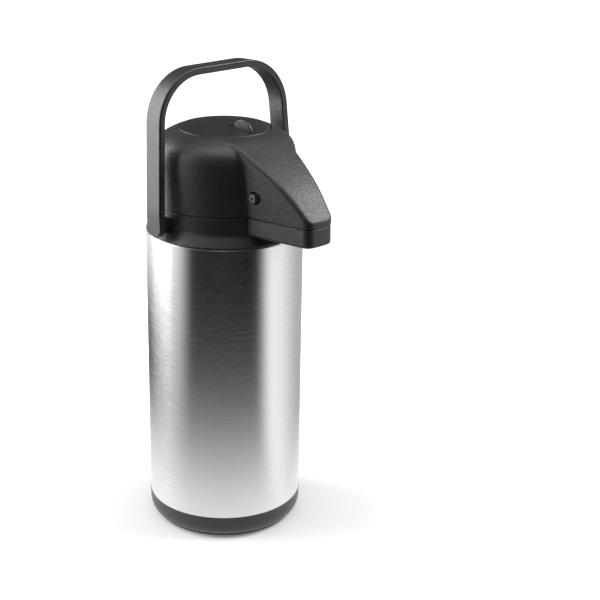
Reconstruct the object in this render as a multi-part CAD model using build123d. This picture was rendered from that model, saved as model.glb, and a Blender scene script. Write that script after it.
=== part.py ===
from build123d import *
import math
import os

# Airpot: a vacuum jug with a pump in its hinged lid. Millimetres, +Z up.
# The origin is the centre of the resting face. The spout points to -Y, the lid's
# hinge is at +Y and the handle turns on the X axis.

# Body
BODY_R = 77.5
SHELL_T = 0.8
BASE_TOP_Z = 23.5
SHELL_TOP_Z = 307.0
FOOT_R = 71.4
FOOT_T = 3.0
LIP_Z = 321.5
NECK_R = 34.0
LINER_R = 68.0
LINER_T = 0.6
LINER_BOTTOM_Z = 36.0
LINER_BEND_R = 10.0
LINER_SHOULDER_Z = 262.0
LINER_SHOULDER_RISE = 34.0
ROLLED_EDGE = 1.2
SHOULDER_OUT_R = 64.0
SHOULDER_IN_R = 38.0
SHOULDER_RISE = 5.0
DISH_R = 60.0
DISH_SLOPE_R = 68.0
DISH_Z = 33.8
DISH_RIM_Z = 31.2
BASE_PROUD = 0.2
BASE_ROUND_Z = 15.0
SPIGOT_TOP_Z = 31.0
SPIGOT_T = 2.2
GROOVE_RADII = (30.0, 45.0, 60.0)
GROOVE_W = 2.0
GROOVE_DEPTH = 1.0
SEAL_T = 1.6

# Head: collar below the seam, hinged cover above it
HEAD_R = 69.5
SEAM_Z = 335.5
SEAM_GAP = 1.0
SEAM_CHAMFER = 0.5
WALL = 2.6
DOME_START_Z = 374.0
DOME_PULL_Z = 397.3
DOME_PULL = 1.65
RIM_Z = 406.5
OPENING_R = 45.5
WELL_T = 2.0
COLLAR_FLOOR_Z = 316.0
COLLAR_FLOOR_T = 3.0
FLARE_TOP_Z = 318.5

# Beak, which is split by the same seam
BEAK_ROOT_Y = -30.0
BEAK_TIP_Y = -136.2
BEAK_TIP_HALF = 15.8
BEAK_TAPER = 0.15
BEAK_FLARE = 4.0
BEAK_CORNER_R = 9.0
BEAK_FRONT_BULGE = 1.2
BEAK_TILT = 1.7
TILT_Y = -62.0
SHELF_Z = 317.0
RIDGE_NEAR = [(-30.0, 407.3), (-43.0, 407.3), (-50.0, 405.3), (-60.0, 400.5), (-80.0, 389.5)]
RIDGE_FAR = [(-100.0, 376.8), (-120.0, 360.5), (-134.0, 346.3), (-139.0, 341.0)]
RIDGE = RIDGE_NEAR + RIDGE_FAR
RIDGE_START = (-1.0, 0.0)
RIDGE_END = (-0.68, -0.73)
RIDGE_CROWN_R = 190.0
RIDGE_SPREAD = 34.0
RIDGE_ROUND = 5.0
SHELF_ROUND = 3.0
BEAK_BLEND = 6.0

# Pump
PLATE_R = 44.7
PLATE_CROWN = 4.0
PLATE_PROUD = 0.8
PLATE_EDGE_R = 1.3
PLATE_SKIRT = 13.0
SKIRT_T = 2.0
PLATE_T = 2.6
PUMP_TRAVEL = 22.0
PUMP_BASE_R = 36.0
PUMP_BASE_T = 2.0
BELLOWS_IN_R = 26.0
BELLOWS_OUT_R = 33.0
BELLOWS_HOLE_R = 12.0
BELLOWS_T = 0.9
BELLOWS_FOLDS = 6
BELLOWS_TOP_DROP = 9.5
PUMP_SPRING_R = 18.0
PUMP_WIRE_R = 0.8
PUMP_SPRING_TURNS = 6
VALVE_STEM_R = 5.0
VALVE_PAD_R = 9.5
VALVE_PAD_T = 1.2

# Lid inside
LID_PLATE_Z = 349.0
LID_PLATE_T = 3.0
LID_PLATE_R = 66.6
PLUG_R = 37.0
PLUG_T = 2.0
AIR_HOLE_R = 8.0
AIR_HOLE_Y = 12.0
PLUG_Z = 325.5
GASKET_LIP = 0.6
SCREW_CIRCLE_R = 58.0
SCREW_R = 1.5
SCREW_LENGTH = 18.0
SCREW_HEAD_R = 3.2
SCREW_HEAD_T = 2.2
SCREW_BOSS_R = 4.0

# Liquid way
TUBE_Y = -22.0
TUBE_R = 4.0
TUBE_BORE_R = 3.2
TUBE_TOP_Z = 316.5
TUBE_FLOOR_GAP = 4.0
TUBE_SLANT = 35.0
SEAT_T = 2.4
SEAT_FLANGE_T = 1.5
SEAT_DEPTH = 11.0
SEAT_HOLDER_R = 6.3
PIPE_R = 4.5
PIPE_BORE_R = 3.4
PIPE_Z = 343.0
PIPE_BEND_R = 9.0
NOZZLE_Y = -116.0
NOZZLE_R = 6.5
NOZZLE_END_Z = 316.5
NOZZLE_LENGTH = 16.0
NOZZLE_HOLE_R = 8.5

# Hinge of the lid
HINGE_Y = 75.0
HINGE_R = 4.5
HINGE_PIN_R = 2.0
HINGE_EAR_IN = 12.0
HINGE_EAR_OUT = 20.0
HINGE_EAR_Z = 324.0
HINGE_ROOT_Y = 64.0
HINGE_SLOPE = 11.0
RUNNING = 0.05
GAP = 0.3

# Handle
PIVOT_Y = 2.9
PIVOT_Z = 322.0
STRAP_W = 20.8
STRAP_T = 6.9
STRAP_ROUND = 1.3
LINE_IN = 1.4
LINE_W = 0.7
LINE_DEPTH = 0.6
ARM_X = 82.4
ARM_TOP_X = 73.7
ARM_STRAIGHT = 14.0
CROSSBAR_Z = 463.5
CORNER_R = 47.5
KNEE_R = 90.0
HANDLE_LEAN = 3.3
PIN_R = 4.0
PIN_DEPTH = 1.2
BOSS_R = 7.2
BOSS_ROOT_X = 66.9
BOSS_FACE_X = ARM_X - STRAP_T / 2 - 0.8
WASHER_T = 0.5

# Release buttons in the beak's sides
BUTTON_Y = -73.6
BUTTON_Z = 356.7
BUTTON_R = 4.6
BUTTON_HOLE_R = 6.3
BUTTON_PROUD = 4.8
BUTTON_FLANGE_R = 7.6
BUTTON_ROUND = 1.0
BUTTON_DIMPLE_R = 1.6
BUTTON_WIRE_R = 0.35
BUTTON_SPRING_R = 3.2
BUTTON_SPRING_TURNS = 5
BUTTON_INNER_X = 12.0
BUTTON_RIB_HALF = 3.0
HOOK_X = 17.8
HOOK_T = 2.5
HOOK_HALF = 3.0
HOOK_Z = 324.5
CATCH_EDGE_X = 21.2
CATCH_Z = 328.5
CATCH_GAP = 0.4

# Lock slider in the pump plate
SLOT_HALF = 6.0
SLOT_OUT_Y = -41.0
SLOT_IN_Y = -9.5
SLOT_CORNER_R = 2.0
SLIT_PLAY = 0.6
LOCK_TRAVEL = 3.0
SLIDER_HALF = 5.7
SLIDER_OUT_Y = -40.5
SLIDER_IN_Y = -13.0
FIN_HEIGHT = 11.0
FIN_T = 3.0
FIN_ROUND = 1.2
STEM_HALF = 2.0
STEM_OUT_Y = -30.4
STEM_IN_Y = -22.0
TONGUE_HALF = 4.0
TONGUE_OUT_Y = -40.0
TONGUE_IN_Y = -20.0
TONGUE_T = 2.6


def ring(r_in, r_out, z_low, z_high):
    """Plain ring about the Z axis."""
    height = z_high - z_low
    body = Pos(0, 0, z_low) * Cylinder(r_out, height, align=(Align.CENTER, Align.CENTER, Align.MIN))
    if r_in <= 0:
        return body
    return body - Pos(0, 0, z_low) * Cylinder(r_in, height, align=(Align.CENTER, Align.CENTER, Align.MIN))


def rod_x(x_low, x_high, y, z, radius):
    """Cylinder along X."""
    start = Pos(x_low, y, z) * Rot(0, 90, 0)
    return start * Cylinder(radius, x_high - x_low, align=(Align.CENTER, Align.CENTER, Align.MIN))


def block(x_low, x_high, y_low, y_high, z_low, z_high):
    """Box between two corners."""
    size = (x_high - x_low, y_high - y_low, z_high - z_low)
    return Pos((x_low + x_high) / 2, (y_low + y_high) / 2, (z_low + z_high) / 2) * Box(*size)


def turned(edges):
    """Solid of revolution of a closed outline of (radius, height) edges."""
    return revolve(Plane.XZ * make_face(edges), Axis.Z, 360)


def turned_points(points):
    """Solid of revolution of a closed outline of (radius, height) points."""
    return turned(Polyline(*points, close=True).edges())


def at_angles(shape, angles):
    """Copies of a shape turned about Z."""
    return [Rot(0, 0, angle) * shape for angle in angles]


def span(side, near, far):
    """Lower and upper X of a stretch on one side of the middle plane."""
    return sorted((side * near, side * far))


def upright(x, y, z_low, z_high, radius):
    """Cylinder along Z."""
    return Pos(x, y, 0) * ring(0, radius, z_low, z_high)


def only(shape):
    """The largest solid of a result."""
    return max(shape.solids(), key=lambda solid: solid.volume)


# Body pieces


def make_outer_shell():
    """Steel wall with its rolled top, shoulder and neck."""
    inner = BODY_R - SHELL_T
    neck_out = NECK_R + SHELL_T
    neck_foot = SHELL_TOP_Z + SHOULDER_RISE
    points = [
        (BODY_R, BASE_TOP_Z),
        (BODY_R, SHELL_TOP_Z - ROLLED_EDGE),
        (BODY_R - 0.3 * ROLLED_EDGE, SHELL_TOP_Z - 0.3 * ROLLED_EDGE),
        (BODY_R - ROLLED_EDGE, SHELL_TOP_Z),
        (SHOULDER_OUT_R, SHELL_TOP_Z),
        (SHOULDER_IN_R, neck_foot),
        (neck_out, neck_foot + 2.0),
        (neck_out, LIP_Z),
        (NECK_R, LIP_Z),
        (NECK_R, neck_foot + 1.4),
        (SHOULDER_IN_R, neck_foot - SHELL_T),
        (SHOULDER_OUT_R, SHELL_TOP_Z - SHELL_T),
        (inner - 0.6, SHELL_TOP_Z - SHELL_T),
        (inner, SHELL_TOP_Z - SHELL_T - 0.6),
        (inner, BASE_TOP_Z),
    ]
    return turned_points(points)


def make_inner_liner():
    """Vessel that holds the drink, with a rounded shoulder up to the neck."""
    arc_in = SHOULDER_IN_R
    rise = LINER_SHOULDER_RISE
    t = LINER_T
    top = LINER_SHOULDER_Z + rise
    half = LINER_R - arc_in
    bend = LINER_BEND_R
    edges = [
        Line((0, LINER_BOTTOM_Z), (LINER_R - bend, LINER_BOTTOM_Z)),
        CenterArc((LINER_R - bend, LINER_BOTTOM_Z + bend), bend, 270, 90),
        Line((LINER_R, LINER_BOTTOM_Z + bend), (LINER_R, LINER_SHOULDER_Z)),
        EllipticalCenterArc((arc_in, LINER_SHOULDER_Z), half, rise, 0, arc_size=90),
        Line((arc_in, top), (NECK_R, top + 1.5)),
        Line((NECK_R, top + 1.5), (NECK_R, LIP_Z)),
        Line((NECK_R, LIP_Z), (NECK_R - t, LIP_Z)),
        Line((NECK_R - t, LIP_Z), (NECK_R - t, top + 1.1)),
        Line((NECK_R - t, top + 1.1), (arc_in, top - t)),
        EllipticalCenterArc((arc_in, LINER_SHOULDER_Z), half - t, rise - t, 0, arc_size=90),
        Line((LINER_R - t, LINER_SHOULDER_Z), (LINER_R - t, LINER_BOTTOM_Z + bend)),
        CenterArc((LINER_R - bend, LINER_BOTTOM_Z + bend), bend - t, 270, 90),
        Line((LINER_R - bend, LINER_BOTTOM_Z + t), (0, LINER_BOTTOM_Z + t)),
        Line((0, LINER_BOTTOM_Z + t), (0, LINER_BOTTOM_Z)),
    ]
    return turned(edges)


def make_bottom_plate():
    """Dished steel plate that closes the outer shell from below."""
    rim = BODY_R - SHELL_T
    t = SHELL_T
    points = [
        (0, DISH_Z),
        (DISH_R, DISH_Z),
        (DISH_SLOPE_R, DISH_RIM_Z),
        (rim, DISH_RIM_Z),
        (rim, DISH_RIM_Z + t),
        (DISH_SLOPE_R, DISH_RIM_Z + t),
        (DISH_R, DISH_Z + t),
        (0, DISH_Z + t),
    ]
    return turned_points(points)


def make_base_cap():
    """Black base with a rounded lower edge and a spigot inside the shell."""
    outer = BODY_R + BASE_PROUD
    spigot = BODY_R - SHELL_T
    spigot_in = spigot - SPIGOT_T
    flat = FOOT_R + 0.3
    floor = FOOT_T + WALL
    corner_z = BASE_ROUND_Z - WALL
    edges = [
        Line((0, FOOT_T), (flat, FOOT_T)),
        EllipticalCenterArc((flat, BASE_ROUND_Z), outer - flat, BASE_ROUND_Z - FOOT_T, 270, arc_size=90),
        Line((outer, BASE_ROUND_Z), (outer, BASE_TOP_Z - SEAM_CHAMFER)),
        Line((outer, BASE_TOP_Z - SEAM_CHAMFER), (outer - SEAM_CHAMFER, BASE_TOP_Z)),
        Line((outer - SEAM_CHAMFER, BASE_TOP_Z), (spigot, BASE_TOP_Z)),
        Line((spigot, BASE_TOP_Z), (spigot, SPIGOT_TOP_Z)),
        Line((spigot, SPIGOT_TOP_Z), (spigot_in, SPIGOT_TOP_Z)),
        Line((spigot_in, SPIGOT_TOP_Z), (spigot_in, corner_z)),
        Line((spigot_in, corner_z), (DISH_SLOPE_R, floor)),
        Line((DISH_SLOPE_R, floor), (0, floor)),
        Line((0, floor), (0, FOOT_T)),
    ]
    return turned(edges)


def make_foot_pad():
    """Rubber pad under the base, with ring grooves in its resting face."""
    pad = ring(0, FOOT_R, 0, FOOT_T)
    pad = chamfer(pad.edges().sort_by(Axis.Z)[0], 0.6)
    for radius in GROOVE_RADII:
        pad -= ring(radius, radius + GROOVE_W, 0, GROOVE_DEPTH)
    return pad


def beak_half(y):
    """Half the beak's width at a place along it."""
    return BEAK_TIP_HALF + BEAK_TAPER * (y - BEAK_TIP_Y)


def beak_plan(inset, z_low, z_high, flare=0.0):
    """Beak outline seen from above, as an upright solid whose walls may lean outward."""
    side_inset = inset * math.hypot(1.0, BEAK_TAPER)
    root = beak_half(BEAK_ROOT_Y) - side_inset
    tip_y = BEAK_TIP_Y + inset
    bend_y = tip_y + BEAK_FRONT_BULGE
    tip = beak_half(bend_y) - side_inset
    outline = [
        Line((root, BEAK_ROOT_Y), (tip, bend_y)),
        ThreePointArc((tip, bend_y), (0, tip_y), (-tip, bend_y)),
        Line((-tip, bend_y), (-root, BEAK_ROOT_Y)),
        Line((-root, BEAK_ROOT_Y), (root, BEAK_ROOT_Y)),
    ]
    face = make_face(outline)
    face = fillet(face.vertices().sort_by(Axis.Y)[:2], BEAK_CORNER_R - inset)
    return extrude(Pos(0, 0, z_low) * face, z_high - z_low, taper=-flare)


def tilted(shape):
    """Shape raised a little toward the beak's tip, with the seam."""
    pivot = Pos(0, TILT_Y, SEAM_Z)
    return pivot * Rot(-BEAK_TILT, 0, 0) * Pos(0, -TILT_Y, -SEAM_Z) * shape


def below_ridge(inset):
    """Everything under the beak's curved and slightly crowned top."""
    line = [(y, z - inset * 1.15) for y, z in RIDGE]
    start = line[0]
    end = line[-1]
    axis_z = RIM_Z - RIDGE_CROWN_R
    low = axis_z + 60.0
    edges = [
        Spline(*line, tangents=[RIDGE_START, RIDGE_END]),
        Line(end, (end[0], low)),
        Line((end[0], low), (start[0], low)),
        Line((start[0], low), start),
    ]
    axis = Axis((0, 0, axis_z), (0, 1, 0))
    face = Plane.YZ * make_face(edges)
    return revolve(face.rotate(axis, -RIDGE_SPREAD / 2), axis, RIDGE_SPREAD)


def dome(inset, z_low):
    """Round head, straight up to the shoulder and then drawn in to the rim."""
    foot_r = HEAD_R - inset
    rim_r = OPENING_R - inset / 2
    top = RIM_Z - inset
    pull = (foot_r, DOME_PULL_Z - inset)
    edges = [
        Line((0, z_low), (foot_r, z_low)),
        Line((foot_r, z_low), (foot_r, DOME_START_Z)),
        Bezier((foot_r, DOME_START_Z), pull, (rim_r, top), weights=[1.0, DOME_PULL, 1.0]),
        Line((rim_r, top), (0, top)),
        Line((0, top), (0, z_low)),
    ]
    return turned(edges)


def beak_rim(face):
    """Edges of a beak face without the one inside the head."""
    return face.edges().filter_by(lambda edge: edge.center().Y < BEAK_ROOT_Y - 5)


def make_collar():
    """Shoulder ring with the lower half of the beak, hinge ears and handle bosses."""
    top = SEAM_Z - SEAM_GAP / 2
    skirt_r = BODY_R - 0.5
    outer = turned_points(
        [
            (0, SHELL_TOP_Z),
            (skirt_r - 0.4, SHELL_TOP_Z),
            (skirt_r, SHELL_TOP_Z + 0.6),
            (skirt_r, SHELL_TOP_Z + 1.6),
            (HEAD_R + 1.2, FLARE_TOP_Z - 1.5),
            (HEAD_R, FLARE_TOP_Z + 1.0),
            (HEAD_R, top - SEAM_CHAMFER),
            (HEAD_R - SEAM_CHAMFER, top),
            (0, top),
        ]
    )
    shelf = beak_plan(0, SHELF_Z, top)
    shelf = fillet(beak_rim(shelf.faces().sort_by(Axis.Z)[0]), SHELF_ROUND)
    shelf = tilted(chamfer(beak_rim(shelf.faces().sort_by(Axis.Z)[-1]), SEAM_CHAMFER))
    floor_top = COLLAR_FLOOR_Z + COLLAR_FLOOR_T
    collar = outer + shelf
    collar -= ring(0, HEAD_R - WALL, floor_top, top + 1)
    collar -= tilted(beak_plan(WALL, SHELF_Z + WALL, top + 1))
    collar -= ring(0, HEAD_R - WALL - 1, SHELL_TOP_Z - 1, COLLAR_FLOOR_Z)
    collar -= ring(0, NECK_R + SHELL_T + SEAL_T, SHELL_TOP_Z - 1, floor_top + 1)
    collar -= upright(0, NOZZLE_Y, SHELF_Z - 1, SHELF_Z + 2 * WALL, NOZZLE_HOLE_R)
    for side in (-1, 1):
        collar += hinge_ear(side)
        collar += handle_boss(side)
        collar += latch_catch(side)
    collar -= rod_x(-HINGE_EAR_OUT - 1, HINGE_EAR_OUT + 1, HINGE_Y, SEAM_Z, HINGE_PIN_R)
    for pin in make_pivot_pins():
        collar -= pin
    return only(collar)


def hinge_ear(side):
    """Ear of the collar that holds one end of the hinge pin."""
    low, high = span(side, HINGE_EAR_IN, HINGE_EAR_OUT)
    back = HINGE_Y + HINGE_R
    ear = rod_x(low, high, HINGE_Y, SEAM_Z, HINGE_R)
    ear += block(low, high, HINGE_ROOT_Y, back, HINGE_EAR_Z, SEAM_Z)
    ear -= ring(0, HEAD_R - WALL, HINGE_EAR_Z - 1, SEAM_Z + HINGE_R + 1)
    slope = Pos(0, back, HINGE_EAR_Z) * Rot(45, 0, 0) * Box(3 * HINGE_EAR_OUT, HINGE_SLOPE, HINGE_SLOPE)
    over = block(low, high, HINGE_ROOT_Y, HEAD_R + GAP, SEAM_Z - SEAM_GAP / 2, SEAM_Z + HINGE_R + 1)
    return ear - slope - over


def handle_boss(side):
    """Round boss at the collar's side that the handle turns against."""
    low, high = span(side, BOSS_ROOT_X, BOSS_FACE_X)
    return rod_x(low, high, PIVOT_Y, PIVOT_Z, BOSS_R)


def latch_catch(side):
    """Ledge inside the lower beak, beside the latch hook's way."""
    low, high = span(side, CATCH_EDGE_X, beak_half(BUTTON_Y) - 1.0)
    reach = HOOK_HALF + 1.5
    return block(low, high, BUTTON_Y - reach, BUTTON_Y + reach, CATCH_Z, CATCH_Z + 3.0)


def make_neck_seal():
    """Rubber ring between the steel neck and the collar."""
    inner = NECK_R + SHELL_T
    return ring(inner, inner + SEAL_T, COLLAR_FLOOR_Z, COLLAR_FLOOR_Z + COLLAR_FLOOR_T)


def make_tube_seat():
    """Insert in the mouth that carries the riser tube at its front side."""
    ring_out = NECK_R - LINER_T
    ring_in = ring_out - SEAT_T
    top = LIP_Z + SEAT_FLANGE_T
    low = LIP_Z - SEAT_DEPTH
    seat = ring(ring_in, ring_out, low, top) + ring(ring_in, NECK_R + SHELL_T, LIP_Z, top)
    seat += upright(0, TUBE_Y, low - 3.0, top, SEAT_HOLDER_R)
    seat += block(-SEAT_T, SEAT_T, -ring_in - SEAT_T / 3, TUBE_Y - TUBE_R - 1.0, low, top)
    seat -= upright(0, TUBE_Y, low - 4.0, TUBE_TOP_Z, TUBE_R)
    return seat - upright(0, TUBE_Y, low, top + 1, TUBE_BORE_R)


def make_dip_tube():
    """Riser tube from just above the liner's floor to its seat, with a slanted foot."""
    low = LINER_BOTTOM_Z + LINER_T + TUBE_FLOOR_GAP
    tube = Pos(0, TUBE_Y, 0) * ring(TUBE_BORE_R, TUBE_R, low, TUBE_TOP_Z)
    side = 5 * TUBE_R
    cutter = Rot(TUBE_SLANT, 0, 0) * Box(side, side, 2 * TUBE_R)
    return only(tube - Pos(0, TUBE_Y - 1.5 * TUBE_R, low) * cutter)


def make_hinge_pin():
    """Steel pin of the lid's hinge."""
    return rod_x(-HINGE_EAR_OUT, HINGE_EAR_OUT, HINGE_Y, SEAM_Z, HINGE_PIN_R)


def make_pivot_pins():
    """Two pins, fixed in the collar, that the handle turns on."""
    end = ARM_X + PIN_DEPTH - 0.2
    low = BOSS_ROOT_X - 4.0
    stretches = [span(side, low, end) for side in (-1, 1)]
    return [rod_x(near, far, PIVOT_Y, PIVOT_Z, PIN_R) for near, far in stretches]


def make_pivot_washers():
    """Two thin washers that keep the handle where it is put."""
    pair = []
    for side in (-1, 1):
        low, high = span(side, BOSS_FACE_X, BOSS_FACE_X + WASHER_T)
        disc = rod_x(low, high, PIVOT_Y, PIVOT_Z, BOSS_R - 1.0)
        pair.append(disc - rod_x(low, high, PIVOT_Y, PIVOT_Z, PIN_R))
    return pair


# Lid pieces


def cover_outside():
    """Outer form of the lid: the dome and the beak, blended into each other."""
    low = SEAM_Z + SEAM_GAP / 2
    beak = beak_plan(0, low, RIM_Z + 5, BEAK_FLARE) & below_ridge(0)
    beak = fillet(beak_rim(beak.faces().sort_by(lambda face: face.center().Z)[-1]), RIDGE_ROUND)
    beak -= tilted(block(-HEAD_R, HEAD_R, BEAK_TIP_Y - 20, TILT_Y, low - 30, low))
    whole = dome(0, low) + beak
    return fillet(whole.edges().filter_by(is_join), BEAK_BLEND)


def is_join(edge):
    """Whether an edge lies where the beak meets the dome."""
    middle = edge @ 0.5
    beside = BEAK_ROOT_Y - 45.0 < middle.Y < BEAK_ROOT_Y - 10.0
    return beside and SEAM_Z + 1 < middle.Z < RIM_Z - 1 and edge.geom_type != GeomType.CIRCLE


def screw_places(shape):
    """Copies of a shape on the lid's four screw places."""
    return at_angles(Pos(SCREW_CIRCLE_R, 0, 0) * shape, (45, 135, 225, 315))


def make_head_cover():
    """Dome with the upper half of the beak, the pump's well and the hinge barrel."""
    low = SEAM_Z + SEAM_GAP / 2
    cover = cover_outside()
    cover -= dome(WALL, low - 1)
    cover -= beak_plan(WALL, low - 1, RIM_Z, BEAK_FLARE) & below_ridge(WALL)
    well_low = RIM_Z - PLATE_SKIRT - PUMP_TRAVEL - 1.5
    cover += ring(OPENING_R, OPENING_R + WELL_T, well_low, RIM_Z - 1)
    cover -= ring(0, OPENING_R, well_low - 1, RIM_Z + 8)
    boss_low = LID_PLATE_Z + LID_PLATE_T
    for boss in screw_places(ring(0, SCREW_BOSS_R, boss_low, RIM_Z)):
        cover += boss & dome(WALL / 2, low)
    for hole in screw_places(ring(0, SCREW_R, boss_low - 1, LID_PLATE_Z + SCREW_LENGTH + 1)):
        cover -= hole
    rib_low = BUTTON_Z - BUTTON_HOLE_R
    rib = block(-BUTTON_RIB_HALF, BUTTON_RIB_HALF, BUTTON_Y - BUTTON_R, BUTTON_Y + BUTTON_R, rib_low, RIM_Z)
    cover += rib & below_ridge(WALL / 2)
    for side in (-1, 1):
        low_x, high_x = span(side, BUTTON_INNER_X, HEAD_R)
        cover -= rod_x(low_x, high_x, BUTTON_Y, BUTTON_Z, BUTTON_HOLE_R)
    cover += lid_barrel()
    cover -= rod_x(-HINGE_EAR_OUT, HINGE_EAR_OUT, HINGE_Y, SEAM_Z, HINGE_PIN_R + RUNNING)
    return only(cover)


def lid_barrel():
    """Barrel of the cover between the collar's ears."""
    half = HINGE_EAR_IN - GAP
    top = SEAM_Z + HINGE_R
    barrel = rod_x(-half, half, HINGE_Y, SEAM_Z, HINGE_R)
    web = block(-half, half, HINGE_ROOT_Y, HINGE_Y, SEAM_Z + SEAM_GAP / 2, top)
    return barrel + (web - ring(0, HEAD_R - WALL, SEAM_Z - 1, top + 1))


def make_lid_plate():
    """Plate that closes the cover from below and carries the pump."""
    plate = ring(0, LID_PLATE_R, LID_PLATE_Z, LID_PLATE_Z + LID_PLATE_T)
    plate -= ring(0, AIR_HOLE_R, LID_PLATE_Z - 1, LID_PLATE_Z + 10)
    for hole in screw_places(ring(0, SCREW_R, LID_PLATE_Z - 1, LID_PLATE_Z + 10)):
        plate -= hole
    return plate


def make_lid_screws():
    """Four screws from the plate up into the cover."""
    low = LID_PLATE_Z - SCREW_HEAD_T
    head = ring(0, SCREW_HEAD_R, low, LID_PLATE_Z)
    for slot in at_angles(block(-2.2, 2.2, -0.4, 0.4, low - 1, low + 1.2), (0, 90)):
        head -= slot
    return screw_places(head + ring(0, SCREW_R, LID_PLATE_Z, LID_PLATE_Z + SCREW_LENGTH))


def make_lid_plug():
    """Cup under the lid plate that presses the gasket on the mouth."""
    plug = ring(0, PLUG_R, PLUG_Z, LID_PLATE_Z)
    plug -= ring(0, PLUG_R - PLUG_T, PLUG_Z + PLUG_T, LID_PLATE_Z + 1)
    plug -= upright(0, TUBE_Y, PLUG_Z - 1, PLUG_Z + 2 * PLUG_T, PIPE_R)
    plug -= upright(0, AIR_HOLE_Y, PLUG_Z - 1, PLUG_Z + 2 * PLUG_T, AIR_HOLE_R / 2)
    way = Pos(0, -PLUG_R, PIPE_Z) * Rot(90, 0, 0) * Cylinder(PIPE_R, 6 * PLUG_T)
    return plug - way


def make_lid_gasket():
    """Silicone ring between the plug and the mouth."""
    low = LIP_Z + SEAT_FLANGE_T + GAP
    inner = NECK_R - SEAT_T
    return ring(inner - 1.0, PLUG_R, low + GASKET_LIP, PLUG_Z) + ring(inner, NECK_R, low, low + GASKET_LIP)


def pipe_path():
    """Centre line of the outlet pipe."""
    low = LIP_Z + SEAT_FLANGE_T + GAP
    end = NOZZLE_END_Z + 8.0
    points = [(0, TUBE_Y, low), (0, TUBE_Y, PIPE_Z), (0, NOZZLE_Y, PIPE_Z), (0, NOZZLE_Y, end)]
    return FilletPolyline(*points, radius=PIPE_BEND_R)


def make_outlet_pipe():
    """Pipe from the riser's seat through the beak to the nozzle."""
    path = pipe_path()
    start = Plane(origin=path @ 0, z_dir=path % 0)
    return sweep(start * (Circle(PIPE_R) - Circle(PIPE_BORE_R)), path)


def make_pipe_seal():
    """Small ring that seals the pipe on the riser's seat."""
    return Pos(0, TUBE_Y, 0) * ring(PIPE_R, PIPE_R + 2.0, LIP_Z + SEAT_FLANGE_T + GAP, PLUG_Z)


def make_nozzle():
    """Sleeve at the pipe's end, which shows under the beak."""
    nozzle = ring(PIPE_R, NOZZLE_R, NOZZLE_END_Z, NOZZLE_END_Z + NOZZLE_LENGTH)
    mouth = nozzle.faces().sort_by(Axis.Z)[0]
    return Pos(0, NOZZLE_Y, 0) * chamfer(mouth.edges().sort_by(SortBy.RADIUS)[-1], 0.8)


def make_pump_base():
    """Ring that holds the foot of the bellows on the lid plate."""
    low = LID_PLATE_Z + LID_PLATE_T
    floor = low + PUMP_BASE_T
    disc = ring(AIR_HOLE_R + 1.0, PUMP_BASE_R, low, floor)
    return disc + ring(PUMP_BASE_R - PUMP_BASE_T, PUMP_BASE_R, floor, floor + PUMP_BASE_T)


def make_bellows():
    """Folded rubber pump body."""
    low = LID_PLATE_Z + LID_PLATE_T + PUMP_BASE_T
    high = RIM_Z - BELLOWS_TOP_DROP
    step = (high - low) / BELLOWS_FOLDS
    outer = [(BELLOWS_IN_R, low)]
    for fold in range(BELLOWS_FOLDS):
        outer.append((BELLOWS_OUT_R, low + (fold + 0.5) * step))
        outer.append((BELLOWS_IN_R, low + (fold + 1) * step))
    under = high - BELLOWS_T
    top = [(BELLOWS_HOLE_R, high), (BELLOWS_HOLE_R, under), (BELLOWS_IN_R - BELLOWS_T, under)]
    inner = [(radius - 1.5 * BELLOWS_T, z) for radius, z in reversed(outer[:-1])]
    return turned_points(outer + top + inner)


def make_bellows_spring():
    """Coil spring that lifts the pump."""
    low = LID_PLATE_Z + LID_PLATE_T + PUMP_BASE_T + 1.0
    high = RIM_Z - BELLOWS_TOP_DROP - 2.5
    return coil(Pos(0, 0, low), PUMP_SPRING_R, PUMP_WIRE_R, high - low, PUMP_SPRING_TURNS)


def coil(place, radius, wire_r, length, turns):
    """Open coil along the local Z axis."""
    path = Helix(pitch=length / turns, height=length, radius=radius)
    section = Plane(origin=path @ 0, z_dir=path % 0) * Circle(wire_r)
    return place * sweep(section, path, is_frenet=True)


def make_release_button(side):
    """Round button with its latch arm and hook."""
    outer = beak_half(BUTTON_Y) + BUTTON_PROUD
    near = BUTTON_Y - HOOK_HALF
    far = BUTTON_Y + HOOK_HALF
    pin = rod_x(BUTTON_INNER_X, outer, BUTTON_Y, BUTTON_Z, BUTTON_R)
    pin = fillet(pin.faces().sort_by(Axis.X)[-1].edges(), BUTTON_ROUND)
    pin -= Pos(outer, BUTTON_Y, BUTTON_Z) * Sphere(BUTTON_DIMPLE_R)
    pin += rod_x(BUTTON_INNER_X, BUTTON_INNER_X + 2.0, BUTTON_Y, BUTTON_Z, BUTTON_FLANGE_R)
    arm = block(HOOK_X - HOOK_T, HOOK_X, near, far, HOOK_Z, BUTTON_Z)
    barb = block(HOOK_X - 1, CATCH_EDGE_X - CATCH_GAP, near, far, HOOK_Z, CATCH_Z - 1.0)
    button = pin + arm + barb
    return button if side > 0 else mirror(button, about=Plane.YZ)


def make_button_spring(side):
    """Coil behind a button, against the cover's rib."""
    length = BUTTON_INNER_X - BUTTON_RIB_HALF - 1.0
    place = Pos(BUTTON_RIB_HALF + 0.5, BUTTON_Y, BUTTON_Z) * Rot(0, 90, 0)
    spring = coil(place, BUTTON_SPRING_R, BUTTON_WIRE_R, length, BUTTON_SPRING_TURNS)
    return spring if side > 0 else mirror(spring, about=Plane.YZ)


# Pump pieces


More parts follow.
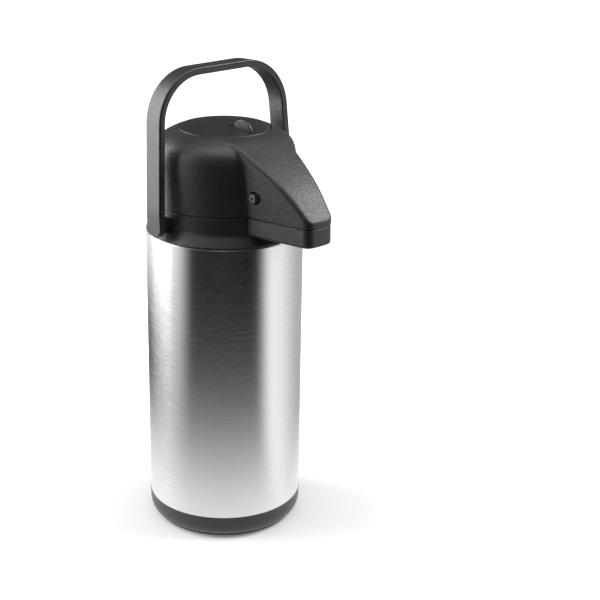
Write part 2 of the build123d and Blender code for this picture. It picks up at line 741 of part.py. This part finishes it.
def plate_surface(inset):
    """Crowned disc without its underside."""
    rim = PLATE_R - inset
    edge = RIM_Z + PLATE_PROUD - inset
    crown = RIM_Z + PLATE_CROWN - inset
    low = RIM_Z - PLATE_SKIRT
    soft = PLATE_EDGE_R
    edges = [
        ThreePointArc((0, crown), (rim / 2, crown - (crown - edge) / 4), (rim - soft, edge)),
        CenterArc((rim - soft, edge - soft), soft, 0, 90),
        Line((rim, edge - soft), (rim, low)),
        Line((rim, low), (0, low)),
        Line((0, low), (0, crown)),
    ]
    return turned(edges)


def make_pump_plate():
    """Pressed plate with its skirt, and the pocket for the lock slider."""
    under = plate_surface(SKIRT_T) & ring(0, PLATE_R, RIM_Z - PLATE_SKIRT - 1, RIM_Z - PLATE_T)
    pocket = block(-SLOT_HALF, SLOT_HALF, SLOT_OUT_Y, SLOT_IN_Y, RIM_Z, RIM_Z + 8)
    pocket = fillet(pocket.edges().filter_by(Axis.Z), SLOT_CORNER_R)
    half = STEM_HALF + SLIT_PLAY
    out_y = STEM_OUT_Y - SLIT_PLAY
    in_y = STEM_IN_Y + LOCK_TRAVEL + SLIT_PLAY
    slit = block(-half, half, out_y, in_y, RIM_Z - 2 * PLATE_T, RIM_Z + 2)
    return only(plate_surface(0) - under - pocket - slit)


def make_air_valve():
    """Rubber pad that closes the bellows when the plate is pressed."""
    pad_low = RIM_Z - BELLOWS_TOP_DROP + GAP
    pad_top = pad_low + VALVE_PAD_T
    return ring(0, VALVE_PAD_R, pad_low, pad_top) + ring(0, VALVE_STEM_R, pad_top, RIM_Z - PLATE_T)


def make_lock_slider():
    """Tab with a half-moon fin that slides in the plate's pocket."""
    base = block(-SLIDER_HALF, SLIDER_HALF, SLIDER_OUT_Y, SLIDER_IN_Y, RIM_Z + GAP, RIM_Z + 6)
    base = fillet(base.edges().filter_by(Axis.Z), SLOT_CORNER_R - GAP) & plate_surface(0)
    middle = (SLIDER_OUT_Y + SLIDER_IN_Y) / 2
    half = (SLIDER_IN_Y - SLIDER_OUT_Y) / 2 - 0.5
    foot = RIM_Z + 1.0
    arc = ThreePointArc((middle - half, foot), (middle, foot + FIN_HEIGHT), (middle + half, foot))
    fin_face = make_face([arc, Line((middle + half, foot), (middle - half, foot))])
    fin = extrude(Plane.YZ.offset(-FIN_T / 2) * fin_face, FIN_T)
    fin = fillet(fin.edges().filter_by(GeomType.CIRCLE), FIN_ROUND)
    high = RIM_Z - PLATE_T - GAP
    low = high - TONGUE_T
    stem = block(-STEM_HALF, STEM_HALF, STEM_OUT_Y, STEM_IN_Y, low + 1.0, foot)
    tongue = block(-TONGUE_HALF, TONGUE_HALF, TONGUE_OUT_Y, TONGUE_IN_Y, low, high)
    return base + fin + stem + tongue


# Handle


def make_handle():
    """Carrying strap from pivot to pivot, leaning back a little."""
    points = [
        (-ARM_X, 0, PIVOT_Z),
        (-ARM_X, 0, PIVOT_Z + ARM_STRAIGHT),
        (-ARM_TOP_X, 0, CROSSBAR_Z),
        (ARM_TOP_X, 0, CROSSBAR_Z),
        (ARM_X, 0, PIVOT_Z + ARM_STRAIGHT),
        (ARM_X, 0, PIVOT_Z),
    ]
    path = FilletPolyline(*points, radius=[KNEE_R, CORNER_R, CORNER_R, KNEE_R])
    start = Plane(origin=path @ 0, x_dir=(1, 0, 0), z_dir=(0, 0, 1))
    strap = sweep(start * RectangleRounded(STRAP_T, STRAP_W, STRAP_ROUND), path)
    for edge in (-1, 1):
        line = Pos(LINE_IN - STRAP_T / 2, edge * STRAP_W / 2) * Rectangle(LINE_W, 2 * LINE_DEPTH)
        strap -= sweep(start * line, path)
    for side in (-1, 1):
        low = side * ARM_X - STRAP_T / 2
        end = rod_x(low, low + STRAP_T, 0, PIVOT_Z, STRAP_W / 2)
        strap += fillet(end.edges().filter_by(GeomType.CIRCLE), STRAP_ROUND)
        near, far = span(side, ARM_X - STRAP_T, ARM_X + PIN_DEPTH)
        strap -= rod_x(near, far, 0, PIVOT_Z, PIN_R + RUNNING)
    pivot = Pos(0, PIVOT_Y, PIVOT_Z)
    return pivot * Rot(-HANDLE_LEAN, 0, 0) * Pos(0, 0, -PIVOT_Z) * strap


def make_parts():
    """All nodes by name."""
    return {
        "outer_shell": make_outer_shell(),
        "inner_liner": make_inner_liner(),
        "bottom_plate": make_bottom_plate(),
        "base_cap": make_base_cap(),
        "foot_pad": make_foot_pad(),
        "collar": make_collar(),
        "neck_seal": make_neck_seal(),
        "tube_seat": make_tube_seat(),
        "dip_tube": make_dip_tube(),
        "hinge_pin": make_hinge_pin(),
        "pivot_pins": make_pivot_pins(),
        "pivot_washers": make_pivot_washers(),
        "head_cover": make_head_cover(),
        "lid_plate": make_lid_plate(),
        "lid_screws": make_lid_screws(),
        "lid_plug": make_lid_plug(),
        "lid_gasket": make_lid_gasket(),
        "outlet_pipe": make_outlet_pipe(),
        "pipe_seal": make_pipe_seal(),
        "nozzle": make_nozzle(),
        "pump_base": make_pump_base(),
        "bellows": make_bellows(),
        "bellows_spring": make_bellows_spring(),
        "button_spring_left": make_button_spring(-1),
        "button_spring_right": make_button_spring(1),
        "release_button_left": make_release_button(-1),
        "release_button_right": make_release_button(1),
        "pump_plate": make_pump_plate(),
        "air_valve": make_air_valve(),
        "lock_slider": make_lock_slider(),
        "handle": make_handle(),
    }


def main():
    os.makedirs("parts", exist_ok=True)
    for name, shape in make_parts().items():
        solid = Compound(children=list(shape)) if isinstance(shape, list) else shape
        export_step(solid, f"parts/{name}.step")


if __name__ == "__main__":
    main()
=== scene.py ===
import bpy
import math
from mathutils import Matrix, Vector

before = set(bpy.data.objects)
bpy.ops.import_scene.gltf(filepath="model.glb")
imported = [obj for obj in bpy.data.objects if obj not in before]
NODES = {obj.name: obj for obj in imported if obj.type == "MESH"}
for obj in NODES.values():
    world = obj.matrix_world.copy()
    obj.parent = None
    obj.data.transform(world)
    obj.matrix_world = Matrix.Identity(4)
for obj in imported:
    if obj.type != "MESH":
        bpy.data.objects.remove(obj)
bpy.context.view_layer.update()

# Camera: place and direction fitted to the photograph, measured from the pot's axis
AZIMUTH = math.radians(-40.5)
CAMERA_DISTANCE = 1.3257
CAMERA_HEIGHT = 0.7283
YAW = 0.057
PITCH = 0.360
ROLL = 0.019
FOCAL_PIXELS = 1407.24
IMAGE_PIXELS = 600.0
SENSOR_MM = 36.0

# Colours
BLACK = (0.016, 0.016, 0.0165)
BASE_BLACK = (0.024, 0.024, 0.025)
HANDLE_BLACK = (0.018, 0.018, 0.0185)
PLATE_BLACK = (0.012, 0.012, 0.0125)
SLIDER_BLACK = (0.010, 0.010, 0.0105)
BUTTON_BLACK = (0.04, 0.04, 0.041)
INNER_BLACK = (0.05, 0.05, 0.052)
RUBBER_BLACK = (0.02, 0.02, 0.02)
STEEL = (0.73, 0.72, 0.71)
PIN_STEEL = (0.62, 0.62, 0.62)
LINER_STEEL = (0.6, 0.6, 0.59)
SILICONE = (0.62, 0.62, 0.6)
MILKY = (0.75, 0.77, 0.76)

# Surface marks: how many to the metre, and how deep in metres
GRAIN_SCALE = 900.0
GRAIN_DEPTH = 0.0003
COARSE_GRAIN = 0.35
FLOW_MARK_SCALE = 14.0
BRUSH_RISE = 5200.0
BRUSH_BROAD_RISE = 1400.0
BRUSH_DEPTH = 0.00001
DRAWING_SCALE = 700.0
DUST_SCALE = 90.0
RUBBER_GRAIN_SCALE = 900.0
RUBBER_DEPTH = 0.00005
CLOUD_SCALE = 60.0
CLOUD_DEPTH = 0.0001
SCATTER_DEPTH = (0.004, 0.004, 0.004)

# Floor: painted glow that only the camera sees, by distance from the pot, as start, end, value at the
# start and at the end
FLOOR_SIZE = 12.0
FLOOR_COLOR = (0.62, 0.62, 0.62, 1.0)
FLOOR_PAINTED_GLOW = (0.10, 0.45, 0.15, 1.0)

# Painted reflection of the floor in the steel, in the same form: by distance, and by direction from
# behind (-1) to the front (1)
NEAR_GLOW = (0.08, 0.46, 1.18, 0.004)
RIM_SPREAD = (0.15, 0.60, 1.0, 0.72)
RIGHT_RIM_START = 0.36
RIGHT_GLOW = (-0.75, 0.35, 0.55, 1.20)
LEFT_RIM_START = 0.32
LOW_LEFT_GLOW = (-0.70, 0.35, 0.02, 0.45)
FAR_LEFT_START, FAR_LEFT_END, FAR_LEFT_GLOW = 0.55, 1.05, 1.15
SIDE_BLEND = 0.02

# Studio walls in the steel, by direction and by height
WALL_SIDES = (0.10, 0.75, 1.0, 0.02)
WALL_BACK = (-1.0, -0.2, 0.12, 1.0)
WALL_TOP = (0.55, 0.95, 0.0, 0.15)

# Studio, in metres and watts
STUDIO_STRENGTH = 0.8
WHITE_STRENGTH = 1.05
AIM = (0.0, 0.0, 0.25)
# name: place across, away and up, width, height, power
SOFTBOXES = {
    "left_box": (-1.0, 0.2, 0.60, 0.9, 1.15, 21.0),
    "right_box": (1.25, 0.15, 1.35, 0.8, 0.7, 28.0),
    "top_box": (-0.1, -0.2, 1.9, 1.0, 1.0, 12.0),
}


def turn_to_object(point):
    """A place given across, away and up from the photograph's point of view, in the pot's frame."""
    across, away, up = point
    x = across * math.cos(AZIMUTH) - away * math.sin(AZIMUTH)
    y = across * math.sin(AZIMUTH) + away * math.cos(AZIMUTH)
    return Vector((x, y, up))


def make_camera():
    """The photograph's camera."""
    forward = Vector((math.sin(YAW) * math.cos(PITCH), math.cos(YAW) * math.cos(PITCH), -math.sin(PITCH)))
    level = Vector((math.cos(YAW), -math.sin(YAW), 0.0))
    lift = level.cross(forward)
    right = math.cos(ROLL) * level + math.sin(ROLL) * lift
    up = -math.sin(ROLL) * level + math.cos(ROLL) * lift
    axes = [turn_to_object(axis) for axis in (right, up, -forward)]
    place = turn_to_object((0.0, -CAMERA_DISTANCE, CAMERA_HEIGHT))
    data = bpy.data.cameras.new("photo_camera")
    data.sensor_width = SENSOR_MM
    data.lens = FOCAL_PIXELS * SENSOR_MM / IMAGE_PIXELS
    data.clip_end = 50.0
    camera = bpy.data.objects.new("photo_camera", data)
    bpy.context.collection.objects.link(camera)
    camera.matrix_world = Matrix.Translation(place) @ Matrix(axes).transposed().to_4x4()
    bpy.context.scene.camera = camera


class Tree:
    """Short calls for building a node tree."""

    def __init__(self, tree):
        self.tree = tree

    def add(self, kind, **settings):
        node = self.tree.nodes.new(kind)
        for name, value in settings.items():
            setattr(node, name, value)
        return node

    def put(self, socket, value):
        """Links a socket or sets a plain value."""
        if isinstance(value, bpy.types.NodeSocket):
            self.tree.links.new(value, socket)
        else:
            socket.default_value = value

    def math(self, operation, first, second=0.0):
        node = self.add("ShaderNodeMath", operation=operation)
        self.put(node.inputs[0], first)
        self.put(node.inputs[1], second)
        return node.outputs[0]

    def ramp(self, value, low, high, out_low=0.0, out_high=1.0):
        """Smooth change from one value to another."""
        node = self.add("ShaderNodeMapRange", interpolation_type="SMOOTHSTEP")
        self.put(node.inputs["Value"], value)
        ends = {"From Min": low, "From Max": high, "To Min": out_low, "To Max": out_high}
        for name, number in ends.items():
            self.put(node.inputs[name], number)
        return node.outputs["Result"]

    def noise(self, vector, scale, detail=2.0, roughness=0.5):
        node = self.add("ShaderNodeTexNoise")
        self.put(node.inputs["Vector"], vector)
        node.inputs["Scale"].default_value = scale
        node.inputs["Detail"].default_value = detail
        node.inputs["Roughness"].default_value = roughness
        return node.outputs["Fac"]

    def mix(self, share, first, second):
        """Colour between two colours."""
        node = self.add("ShaderNodeMix", data_type="RGBA")
        self.put(node.inputs["Factor"], share)
        self.put(node.inputs["A"], first)
        self.put(node.inputs["B"], second)
        return node.outputs["Result"]

    def bump(self, height, distance, strength=1.0):
        node = self.add("ShaderNodeBump")
        self.put(node.inputs["Height"], height)
        node.inputs["Distance"].default_value = distance
        node.inputs["Strength"].default_value = strength
        return node.outputs["Normal"]


def new_material(name):
    """A material with its tree and its main shader."""
    material = bpy.data.materials.new(name)
    material.use_nodes = True
    tree = Tree(material.node_tree)
    shader = material.node_tree.nodes["Principled BSDF"]
    coordinates = tree.add("ShaderNodeTexCoord").outputs["Object"]
    return material, tree, shader, coordinates


def scaled(color, factor):
    return tuple(channel * factor for channel in color) + (1.0,)


def moulded(name, color, roughness=0.44, grain=1.0):
    """Moulded plastic with a fine grain and faint flow marks."""
    material, tree, shader, place = new_material(name)
    fine = tree.noise(place, GRAIN_SCALE, 2.0, 0.6)
    coarse = tree.noise(place, GRAIN_SCALE * COARSE_GRAIN, 1.0)
    cloud = tree.noise(place, FLOW_MARK_SCALE, 3.0)
    height = tree.math("ADD", fine, tree.math("MULTIPLY", coarse, 0.6))
    shade = tree.ramp(cloud, 0.3, 0.7)
    tree.put(shader.inputs["Base Color"], tree.mix(shade, scaled(color, 0.88), scaled(color, 1.12)))
    rough = tree.ramp(fine, 0.2, 0.8, roughness - 0.05, roughness + 0.05)
    tree.put(shader.inputs["Roughness"], rough)
    shader.inputs["Specular IOR Level"].default_value = 0.5
    tree.put(shader.inputs["Normal"], tree.bump(height, GRAIN_DEPTH * grain))
    return material


def around_and_up(tree, place, turns, rise):
    """Coordinates that run round the pot's axis and up it, with the seam at the back."""
    split = tree.add("ShaderNodeSeparateXYZ")
    tree.put(split.inputs[0], place)
    back = tree.math("MULTIPLY", split.outputs["Y"], -1.0)
    angle = tree.math("ARCTAN2", split.outputs["X"], back)
    join = tree.add("ShaderNodeCombineXYZ")
    tree.put(join.inputs["X"], tree.math("MULTIPLY", angle, turns))
    tree.put(join.inputs["Y"], tree.math("MULTIPLY", split.outputs["Z"], rise))
    return join.outputs[0]


def brushed_steel():
    """Stainless steel brushed round the pot, with long fine scratches."""
    material, tree, shader, place = new_material("brushed_steel")
    fine = tree.noise(around_and_up(tree, place, 3.0, BRUSH_RISE), 1.0, 3.0, 0.65)
    broad = tree.noise(around_and_up(tree, place, 1.2, BRUSH_BROAD_RISE), 1.0, 2.0)
    marks = tree.math("ADD", tree.math("MULTIPLY", fine, 0.8), tree.math("MULTIPLY", broad, 0.2))
    tone = tree.ramp(marks, 0.3, 0.7)
    tree.put(shader.inputs["Base Color"], tree.mix(tone, scaled(STEEL, 0.9), scaled(STEEL, 1.04)))
    shader.inputs["Metallic"].default_value = 1.0
    tree.put(shader.inputs["Roughness"], tree.ramp(marks, 0.25, 0.75, 0.22, 0.32))
    shader.inputs["Anisotropic"].default_value = 0.75
    shader.inputs["Anisotropic Rotation"].default_value = 0.25
    tangent = tree.add("ShaderNodeTangent", direction_type="RADIAL", axis="Z")
    tree.put(shader.inputs["Tangent"], tangent.outputs[0])
    tree.put(shader.inputs["Normal"], tree.bump(marks, BRUSH_DEPTH, 0.3))
    return material


def drawn_metal(name, color, roughness=0.25):
    """Plain metal with faint drawing marks."""
    material, tree, shader, place = new_material(name)
    marks = tree.noise(place, DRAWING_SCALE, 3.0)
    tree.put(shader.inputs["Base Color"], tree.mix(marks, scaled(color, 0.85), scaled(color, 1.1)))
    shader.inputs["Metallic"].default_value = 1.0
    tree.put(shader.inputs["Roughness"], tree.ramp(marks, 0.3, 0.7, roughness - 0.06, roughness + 0.08))
    return material


def soft_rubber(name, color, roughness=0.7):
    """Matt rubber or silicone with a dusty surface."""
    material, tree, shader, place = new_material(name)
    dust = tree.noise(place, DUST_SCALE, 4.0, 0.7)
    shade = tree.ramp(dust, 0.35, 0.75)
    tree.put(shader.inputs["Base Color"], tree.mix(shade, scaled(color, 0.85), scaled(color, 1.25)))
    tree.put(shader.inputs["Roughness"], tree.ramp(dust, 0.3, 0.7, roughness - 0.08, roughness + 0.08))
    grain = tree.noise(place, RUBBER_GRAIN_SCALE, 2.0)
    tree.put(shader.inputs["Normal"], tree.bump(grain, RUBBER_DEPTH))
    return material


def milky_plastic(name, color):
    """Translucent plastic of the drink's pipes."""
    material, tree, shader, place = new_material(name)
    cloud = tree.noise(place, CLOUD_SCALE, 3.0)
    tree.put(shader.inputs["Base Color"], tree.mix(cloud, scaled(color, 0.92), scaled(color, 1.0)))
    shader.inputs["Roughness"].default_value = 0.3
    shader.inputs["Subsurface Weight"].default_value = 0.4
    shader.inputs["Subsurface Radius"].default_value = SCATTER_DEPTH
    tree.put(shader.inputs["Normal"], tree.bump(cloud, CLOUD_DEPTH))
    return material


def paint(node, material):
    """Gives a CAD node one material."""
    mesh = NODES[node].data
    mesh.materials.clear()
    mesh.materials.append(material)
    for polygon in mesh.polygons:
        polygon.material_index = 0


def paint_all():
    """Materials of every node."""
    shell = moulded("black_shell", BLACK)
    inner = moulded("inner_plastic", INNER_BLACK, 0.3, 0.3)
    pin = drawn_metal("pin_steel", PIN_STEEL)
    liner = drawn_metal("liner_steel", LINER_STEEL, 0.3)
    rubber = soft_rubber("black_rubber", RUBBER_BLACK)
    silicone = soft_rubber("silicone", SILICONE, 0.55)
    milky = milky_plastic("milky_plastic", MILKY)
    finishes = {
        "outer_shell": brushed_steel(),
        "base_cap": moulded("black_base", BASE_BLACK, 0.42),
        "handle": moulded("black_handle", HANDLE_BLACK, 0.40, 0.8),
        "pump_plate": moulded("black_plate", PLATE_BLACK, 0.43, 0.8),
        "lock_slider": moulded("black_slider", SLIDER_BLACK, 0.44, 0.5),
    }
    for node in ("collar", "head_cover", "nozzle"):
        finishes[node] = shell
    for node in ("release_button_left", "release_button_right"):
        finishes[node] = moulded(node + "_plastic", BUTTON_BLACK, 0.4, 0.5)
    for node in ("tube_seat", "lid_plate", "lid_plug", "pump_base"):
        finishes[node] = inner
    for node in ("hinge_pin", "pivot_pins", "lid_screws"):
        finishes[node] = pin
    for node in ("bellows_spring", "button_spring_left", "button_spring_right"):
        finishes[node] = pin
    for node in ("inner_liner", "bottom_plate"):
        finishes[node] = liner
    for node in ("foot_pad", "neck_seal", "air_valve"):
        finishes[node] = rubber
    for node in ("lid_gasket", "pipe_seal", "bellows"):
        finishes[node] = silicone
    for node in ("dip_tube", "outlet_pipe", "pivot_washers"):
        finishes[node] = milky
    for node in NODES:
        paint(node, finishes[node])


def make_floor():
    """Pale floor with a painted glow that only the camera sees, stronger away from the pot, and a painted
    reflection for glossy rays, darker in the steel away from the pot on the camera's side.
    """
    bpy.ops.mesh.primitive_plane_add(size=FLOOR_SIZE, location=(0.0, 0.0, 0.0))
    floor = bpy.context.object
    floor.name = "floor"
    material, tree, shader, place = new_material("pale_floor")
    shader.inputs["Base Color"].default_value = FLOOR_COLOR
    shader.inputs["Roughness"].default_value = 0.9
    shader.inputs["Specular IOR Level"].default_value = 0.1
    # Painted reflection: glossy rays see this glowing pattern instead of the floor's own shading
    painted_floor_reflection = studio_glow(tree, place, floor_glow)
    paths = tree.add("ShaderNodeLightPath")
    glow = tree.add("ShaderNodeEmission")
    tree.put(glow.inputs["Color"], painted_floor_reflection)
    distance = tree.add("ShaderNodeVectorMath", operation="LENGTH")
    tree.put(distance.inputs[0], place)
    # Painted glow that only camera rays see: weaker near the pot, which lightens the shadow there, and
    # strong enough further out to whiten the floor
    lift = tree.ramp(distance.outputs["Value"], *FLOOR_PAINTED_GLOW)
    shader.inputs["Emission Color"].default_value = (1.0, 1.0, 1.0, 1.0)
    painted_glow_to_camera = tree.math("MULTIPLY", lift, paths.outputs["Is Camera Ray"])
    tree.put(shader.inputs["Emission Strength"], painted_glow_to_camera)
    choose = tree.add("ShaderNodeMixShader")
    tree.put(choose.inputs[0], paths.outputs["Is Glossy Ray"])
    tree.put(choose.inputs[1], shader.outputs[0])
    tree.put(choose.inputs[2], glow.outputs[0])
    output = tree.tree.nodes["Material Output"]
    tree.put(output.inputs["Surface"], choose.outputs[0])
    floor.data.materials.append(material)


def studio_glow(tree, direction, law):
    """Brightness round the pot by direction: toward the camera, across it and up."""
    toward = turn_to_object((0.0, -1.0, 0.0))
    across = turn_to_object((1.0, 0.0, 0.0))
    parts = []
    for axis in (toward, across):
        dot = tree.add("ShaderNodeVectorMath", operation="DOT_PRODUCT")
        tree.put(dot.inputs[0], direction)
        dot.inputs[1].default_value = axis
        parts.append(dot.outputs["Value"])
    split = tree.add("ShaderNodeSeparateXYZ")
    tree.put(split.inputs[0], direction)
    front, side = parts
    squares = [tree.math("MULTIPLY", part, part) for part in parts]
    reach = tree.math("SQRT", tree.math("ADD", squares[0], squares[1]))
    facing = tree.math("DIVIDE", front, tree.math("MAXIMUM", reach, 0.0001))
    join = tree.add("ShaderNodeCombineXYZ")
    value = law(tree, facing, side, reach, split.outputs["Z"])
    for socket in join.inputs:
        tree.put(socket, value)
    return join.outputs[0]


def floor_glow(tree, facing, side, reach, height):
    """Painted reflection of the floor, as the steel sees it: white near the pot and at the sides, dark in
    front further out.
    """
    near = tree.ramp(reach, *NEAR_GLOW)
    spread = tree.ramp(reach, *RIM_SPREAD)
    right_rim = tree.ramp(facing, RIGHT_RIM_START, spread, 1.0, 0.0)
    right = tree.math("MULTIPLY", right_rim, tree.ramp(facing, *RIGHT_GLOW))
    left_rim = tree.ramp(facing, LEFT_RIM_START, spread, 1.0, 0.0)
    low_left = tree.ramp(facing, *LOW_LEFT_GLOW)
    far_left = tree.ramp(reach, FAR_LEFT_START, FAR_LEFT_END, low_left, FAR_LEFT_GLOW)
    left = tree.math("MULTIPLY", left_rim, far_left)
    which = tree.ramp(side, -SIDE_BLEND, SIDE_BLEND)
    on_right = tree.math("MULTIPLY", which, right)
    on_left = tree.math("MULTIPLY", tree.math("SUBTRACT", 1.0, which), left)
    return tree.math("MAXIMUM", near, tree.math("ADD", on_right, on_left))


def sky_glow(tree, facing, side, reach, height):
    """Studio walls: bright at both sides, dark toward the camera and behind the pot, soft above."""
    sides = tree.ramp(facing, *WALL_SIDES)
    back = tree.ramp(facing, *WALL_BACK)
    top = tree.ramp(height, *WALL_TOP)
    return tree.math("ADD", tree.math("MULTIPLY", sides, back), top)


def make_world():
    """White to the camera; a soft studio to everything else."""
    world = bpy.data.worlds.new("studio")
    world.use_nodes = True
    bpy.context.scene.world = world
    tree = Tree(world.node_tree)
    world.node_tree.nodes.clear()
    direction = tree.add("ShaderNodeTexCoord").outputs["Generated"]
    studio = tree.add("ShaderNodeBackground")
    tree.put(studio.inputs["Color"], studio_glow(tree, direction, sky_glow))
    studio.inputs["Strength"].default_value = STUDIO_STRENGTH
    white = tree.add("ShaderNodeBackground")
    white.inputs["Color"].default_value = (1.0, 1.0, 1.0, 1.0)
    white.inputs["Strength"].default_value = WHITE_STRENGTH
    paths = tree.add("ShaderNodeLightPath")
    choose = tree.add("ShaderNodeMixShader")
    tree.put(choose.inputs[0], paths.outputs["Is Camera Ray"])
    tree.put(choose.inputs[1], studio.outputs[0])
    tree.put(choose.inputs[2], white.outputs[0])
    output = tree.add("ShaderNodeOutputWorld")
    tree.put(output.inputs["Surface"], choose.outputs[0])


def area_light(name, across, away, up, width, height, power):
    """Softbox placed from the photograph's point of view and aimed at the pot."""
    data = bpy.data.lights.new(name, "AREA")
    data.shape = "RECTANGLE"
    data.size = width
    data.size_y = height
    data.energy = power
    light = bpy.data.objects.new(name, data)
    bpy.context.collection.objects.link(light)
    place = turn_to_object((across, away, up))
    aim = turn_to_object(AIM) - place
    light.rotation_euler = aim.to_track_quat("-Z", "Y").to_euler()
    light.location = place


def make_lights():
    """Two softboxes beside the pot and one above."""
    for name, numbers in SOFTBOXES.items():
        area_light(name, *numbers)


make_camera()
make_world()
make_floor()
make_lights()
paint_all()
bpy.context.scene.view_settings.view_transform = "Standard"
